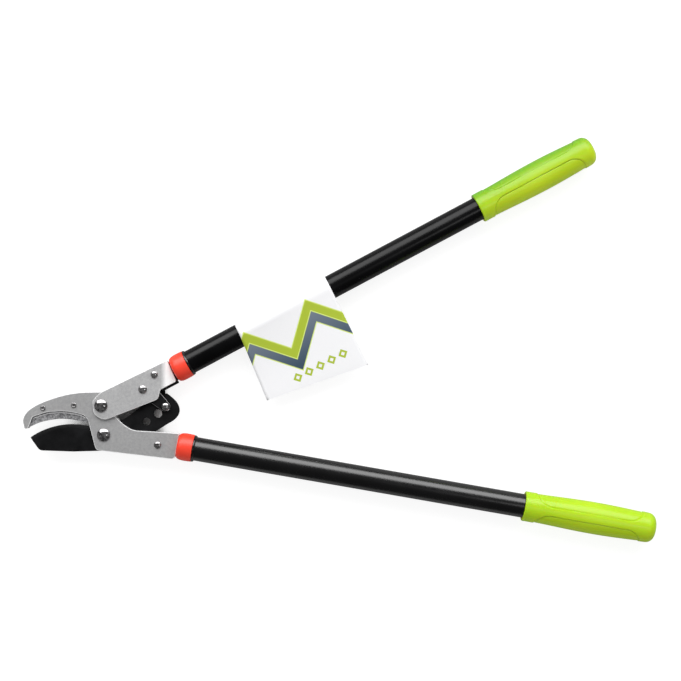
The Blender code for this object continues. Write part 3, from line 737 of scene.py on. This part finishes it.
def domed_rivet(node, body, face):
    """A rivet with a shallow round head in front, on the face, and a flat peened end behind."""
    head = head_radius(node)
    shaft = RIVET_SHAFT_SHARE * head
    seat = face + FIT_GAP
    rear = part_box(node)[0].z / MM - MIDDLE_HEIGHT
    under = round_profile([
        (head, seat, 0), (shaft, seat, 0.2), (shaft, -seat, 0.2), (head, -seat, 0.3),
        (head, rear + 0.25, 0.7), (head * 0.6, rear, 0.7), (0.3, rear, 0),
    ])
    sphere = head / sin(DOME_RIM_TILT)
    top = seat + DOME_RIM_HEIGHT + head * tan(DOME_RIM_TILT / 2)
    dome = [(head, seat + DOME_RIM_HEIGHT - 0.2)]
    for i in range(DOME_STEPS):
        angle = DOME_RIM_TILT * (1 - (i + 0.5) / DOME_STEPS)
        dome.append((sphere * sin(angle), top - sphere * (1 - cos(angle))))
    work = bmesh.new()
    rows = skin(work, turned_rings(under[::-1] + dome, RIVET_SIDES))
    close_end(work, rows[-1], Vector((0, 0, top)))
    close_end(work, rows[0][::-1], Vector((0, 0, rear)))
    place_piece(node + "_domed", work, rivet_place(node), "polished_rivet", body, node)


def rolled_eyelet(node):
    """A hollow rivet whose ends roll over into rings."""
    head = head_radius(node)
    shaft = head * EYELET_SHAFT_SHARE
    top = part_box(node)[1].z / MM - MIDDLE_HEIGHT
    seat = CHEEK_FACE + FIT_GAP
    middle = (EYELET_BORE + head) / 2
    half = (head - EYELET_BORE) / 2
    roll = [(middle - half * cos(a), seat + (top - seat) * sin(a))
            for a in [radians(18 * i) for i in range(11)]]
    front = [(EYELET_BORE, EYELET_WAIST), *roll, (shaft, seat), (shaft, EYELET_WAIST)]
    rear = [(radius, -height) for radius, height in reversed(front)]
    work = bmesh.new()
    skin(work, turned_rings(front + rear, EYELET_SIDES), close_along=True)
    place_piece(node + "_rolled", work, rivet_place(node), "polished_rivet", "lower_handle", node)


# Bead on the anvil insert

def smooth_path(points, steps):
    """Points on a smooth curve through the given ones."""
    path = []
    ends = [points[0], *points, points[-1]]
    for before, start, end, after in zip(ends, ends[1:], ends[2:], ends[3:]):
        for step in range(steps):
            t = step / steps
            bend = 3 * (start - end) + after - before
            rise = 2 * before - 5 * start + 4 * end - after + t * bend
            path.append(start + 0.5 * t * (end - before + t * rise))
    return path + [points[-1]]


def insert_bead():
    """A raised line on the anvil insert, beside the cheek's edge, coloured with the painted edge
    highlight.
    """
    path = smooth_path([Vector(point) for point in JAW_STEP], 4)
    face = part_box("anvil_insert")[1].z / MM
    rings = []
    for before, point, after in zip([path[0], *path], path, [*path[1:], path[-1]]):
        along = (after - before).normalized()
        away = Vector((-along.y, along.x))
        ring = []
        for angle in turn_angles(BEAD_SIDES):
            place = point + away * (BEAD_OFFSET + BEAD_HALF_WIDTH * cos(angle))
            ring.append(Vector((place.x, place.y, face + BEAD_HEIGHT * sin(angle))))
        rings.append(ring)
    work = bmesh.new()
    rows = skin(work, rings)
    close_end(work, rows[0][::-1], sum(rings[0], Vector()) / BEAD_SIDES)
    close_end(work, rows[-1], sum(rings[-1], Vector()) / BEAD_SIDES)
    place_piece("anvil_insert_bead", work, Matrix(), "anvil_metal", "lower_handle")


# Card sleeve

def card_ring(across):
    """The card's section at a share of its width, as points of (depth, fall, share of the leaf)."""
    radius = TUBE_CLEARANCE + CARD_THICKNESS / 2
    drop = TUBE_RADIUS + CARD_DROP_START + (CARD_DROP_END - CARD_DROP_START) * across
    ring = [(radius * cos(a), -radius * sin(a), 0.0) for a in [radians(9 * i) for i in range(21)]]
    for side in (-1, 1):
        leaf = []
        for step in range(1, CARD_LEAF_STEPS + 1):
            share = step / CARD_LEAF_STEPS
            sag = CARD_SAG * sin(pi * share) * (0.6 + 0.4 * sin(5 * across + share))
            depth = radius + (CARD_FOOT_HALF_DEPTH - radius) * share ** 0.9 - sag
            leaf.append((side * max(depth, CARD_LEAST_HALF_DEPTH), drop * share, share))
        ring += leaf if side < 0 else leaf[::-1]
    return ring


def card_sleeve():
    """A sheet of card folded over the tube, whose two leaves sag together below it."""
    rings = []
    for i in range(CARD_COLUMNS + 1):
        across = i / CARD_COLUMNS
        ring = []
        for depth, fall, share in card_ring(across):
            start = CARD_START + (CARD_BOTTOM_START - CARD_START) * share
            end = CARD_END + (CARD_BOTTOM_END - CARD_END) * share
            ring.append(Vector((start + (end - start) * across, -fall, depth)))
        rings.append(ring)
    work = bmesh.new()
    skin(work, rings)
    piece = place_piece("card_sleeve_printed", work, handle_place("upper"),
                        "printed_card", "upper_handle", "card_sleeve")
    add_modifier(piece, "wall", "SOLIDIFY", thickness=CARD_THICKNESS * MM, offset=0)


# CAD nodes that stay, with finer edges and their own finish

def join_flat_faces(node, name):
    add_modifier(node, name, "DECIMATE", decimate_type="DISSOLVE", angle_limit=FLAT_ANGLE)


def dress_node(name, width):
    """Round a node's edges: its flat faces are first joined, split evenly and joined again."""
    node = NODES[name]
    node.data.materials.clear()
    node.data.materials.append(OWN_LOOKS.get(name, LOOKS[SLOTS[name]]))
    edge_slot = -1
    # The bevels take the node's edge look: a painted highlight on the steel plates, bare steel on
    # the link
    if name in EDGE_LOOKS:
        node.data.materials.append(EDGE_LOOKS[name])
        edge_slot = 1
    add_modifier(node, "weld", "WELD", merge_threshold=WELD_REACH * MM)
    join_flat_faces(node, "flat")
    add_modifier(node, "even_split", "TRIANGULATE", ngon_method="BEAUTY")
    join_flat_faces(node, "flat_again")
    add_modifier(node, "edge", "BEVEL", width=width * MM, segments=2, use_clamp_overlap=False,
                 loop_slide=False, limit_method="ANGLE", angle_limit=EDGE_ANGLE, material=edge_slot)
    add_modifier(node, "normals", "WEIGHTED_NORMAL", weight=90)


# Studio

def seen_share(work, path):
    """How much of the white backdrop a ray shows: all to the lens, some in mirrors and glass."""
    bent = work.math("MAXIMUM", path["Is Glossy Ray"], path["Is Transmission Ray"])
    return work.math("MAXIMUM", path["Is Camera Ray"], work.math("MULTIPLY", bent, MIRROR_SHARE))


def floor_finish():
    """White to the lens but where the object shades it, pale to what it lights, dim in mirrors."""
    made = bpy.data.materials.new("floor_look")
    made.use_nodes = True
    work = Nodes(made.node_tree)
    path = work.node("ShaderNodeLightPath").outputs
    shader = work.tree.nodes["Principled BSDF"]
    shader.inputs["Roughness"].default_value = 0.8
    shader.inputs["Specular IOR Level"].default_value = 0.0
    work.link(work.mix(path["Is Diffuse Ray"], grey(0.30), grey(0.85)), shader.inputs["Base Color"])
    near = work.node("ShaderNodeAmbientOcclusion", samples=SHADE_SAMPLES)
    near.inputs["Distance"].default_value = SHADE_REACH
    openness = work.ramp(near.outputs["AO"], SHADE_FULL, SHADE_NONE, 0, FLOOR_GLOW, "SMOOTHSTEP")
    glow = work.node("ShaderNodeEmission")
    glow.inputs["Color"].default_value = (*WHITE, 1)
    work.link(work.math("MULTIPLY", openness, seen_share(work, path)), glow.inputs["Strength"])
    both = work.node("ShaderNodeAddShader")
    work.link(shader.outputs[0], both.inputs[0])
    work.link(glow.outputs[0], both.inputs[1])
    work.link(both.outputs[0], work.tree.nodes["Material Output"].inputs["Surface"])
    return made


def studio_floor():
    low, high = cad_box
    mesh = bpy.data.meshes.new("floor")
    work = bmesh.new()
    bmesh.ops.create_grid(work, x_segments=1, y_segments=1, size=FLOOR_HALF)
    work.to_mesh(mesh)
    work.free()
    floor = add_object("floor", mesh)
    floor.location = ((low.x + high.x) / 2, (low.y + high.y) / 2, low.z - FLOOR_DROP)
    floor.data.materials.append(floor_finish())


def lamps():
    centre = Vector((CAMERA_AIM.x, CAMERA_AIM.y, 0)) * MM
    for lamp in LAMPS:
        data = bpy.data.lights.new(lamp["name"], "AREA")
        data.shape = "RECTANGLE"
        data.size, data.size_y = lamp["size"]
        data.energy = lamp["power"]
        made = add_object(lamp["name"], data)
        made.location = centre + Vector(lamp["place"])
        made.rotation_euler = (centre - made.location).to_track_quat("-Z", "Y").to_euler()


def world():
    """Soft light on the object, and a white backdrop."""
    made = bpy.data.worlds.new("studio")
    bpy.context.scene.world = made
    made.use_nodes = True
    work = Nodes(made.node_tree)
    background = work.tree.nodes["Background"]
    background.inputs["Color"].default_value = (*WHITE, 1)
    path = work.node("ShaderNodeLightPath").outputs
    lighting = work.math("MULTIPLY", path["Is Diffuse Ray"], WORLD_LIGHT)
    work.link(work.math("ADD", lighting, seen_share(work, path)), background.inputs["Strength"])


def camera():
    """Straight above the tool."""
    data = bpy.data.cameras.new("camera")
    data.sensor_width = SENSOR
    data.lens = SENSOR * CAMERA_DISTANCE / PICTURE_WIDTH
    data.clip_end = 50
    made = add_object("camera", data)
    made.location = Vector((CAMERA_AIM.x, CAMERA_AIM.y, AIM_HEIGHT + CAMERA_DISTANCE)) * MM
    bpy.context.scene.camera = made


def dress():
    """Make all the pieces and dress the CAD nodes that stay."""
    for maker in (grip, collar, end_ring):
        for side in HANDLE_AXES:
            maker(side)
    domed_rivet("handle_pivot_rivet", "lower_handle", UPPER_FACE)
    domed_rivet("blade_pivot_rivet", "lower_handle", CHEEK_FACE)
    domed_rivet("link_rivet", "upper_handle", UPPER_FACE)
    domed_rivet("upper_tang_rivet", "upper_handle", UPPER_FACE)
    domed_rivet("lower_tang_rivet", "lower_handle", CHEEK_FACE)
    domed_rivet("blade_link_rivet", "link", LINK_FACE)
    insert_bead()
    rolled_eyelet("anvil_rivet_tip")
    rolled_eyelet("anvil_rivet_heel")
    card_sleeve()
    for name, width in EDGE_ROUNDS.items():
        dress_node(name, width)


dress()
studio_floor()
lamps()
world()
camera()
bpy.context.scene.view_settings.view_transform = "Standard"
